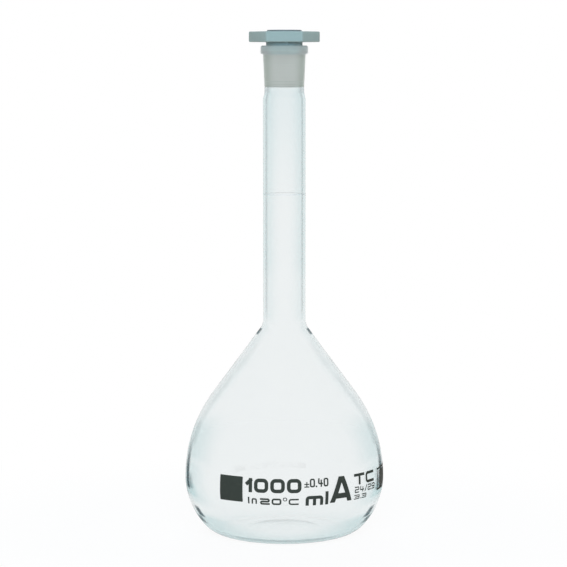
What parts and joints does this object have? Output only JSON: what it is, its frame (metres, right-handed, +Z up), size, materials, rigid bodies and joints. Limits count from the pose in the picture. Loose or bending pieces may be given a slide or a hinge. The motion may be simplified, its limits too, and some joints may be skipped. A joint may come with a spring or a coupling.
{
  "type": "volumetric flask",
  "caption": "Pear-shaped glass measuring flask with a long neck, a fired volume mark and a tapered ground socket, closed by a hollow plastic stopper with a hexagonal head.",
  "frame": {"origin": "centre of the foot ring, on the surface that the flask stands on", "axes": "+Z up along the flask's axis; -Y is the printed front; +X is to the right seen from the front"},
  "size_m": [0.1252, 0.1252, 0.3165],
  "materials": {
    "clear_glass": "clear, faintly green-blue in thick places, ground matt inside the socket",
    "pale_enamel": "thin fired pale line",
    "dark_enamel": "fired dark grey-green enamel, slightly matt",
    "stopper_plastic": "translucent grey-green moulded plastic, satin"
  },
  "bodies": {
    "flask": {"bulb": "clear_glass", "neck": "clear_glass", "ground_socket": "clear_glass", "graduation_ring": "pale_enamel", "marking_patch": "dark_enamel"},
    "stopper": {"stopper": "stopper_plastic"}
  },
  "joints": [
    {"name": "stopper_lift", "type": "slide", "parent": "flask", "child": "stopper", "axis": [0, 0, 1], "range_m": [0, 0.06]}
  ]
}
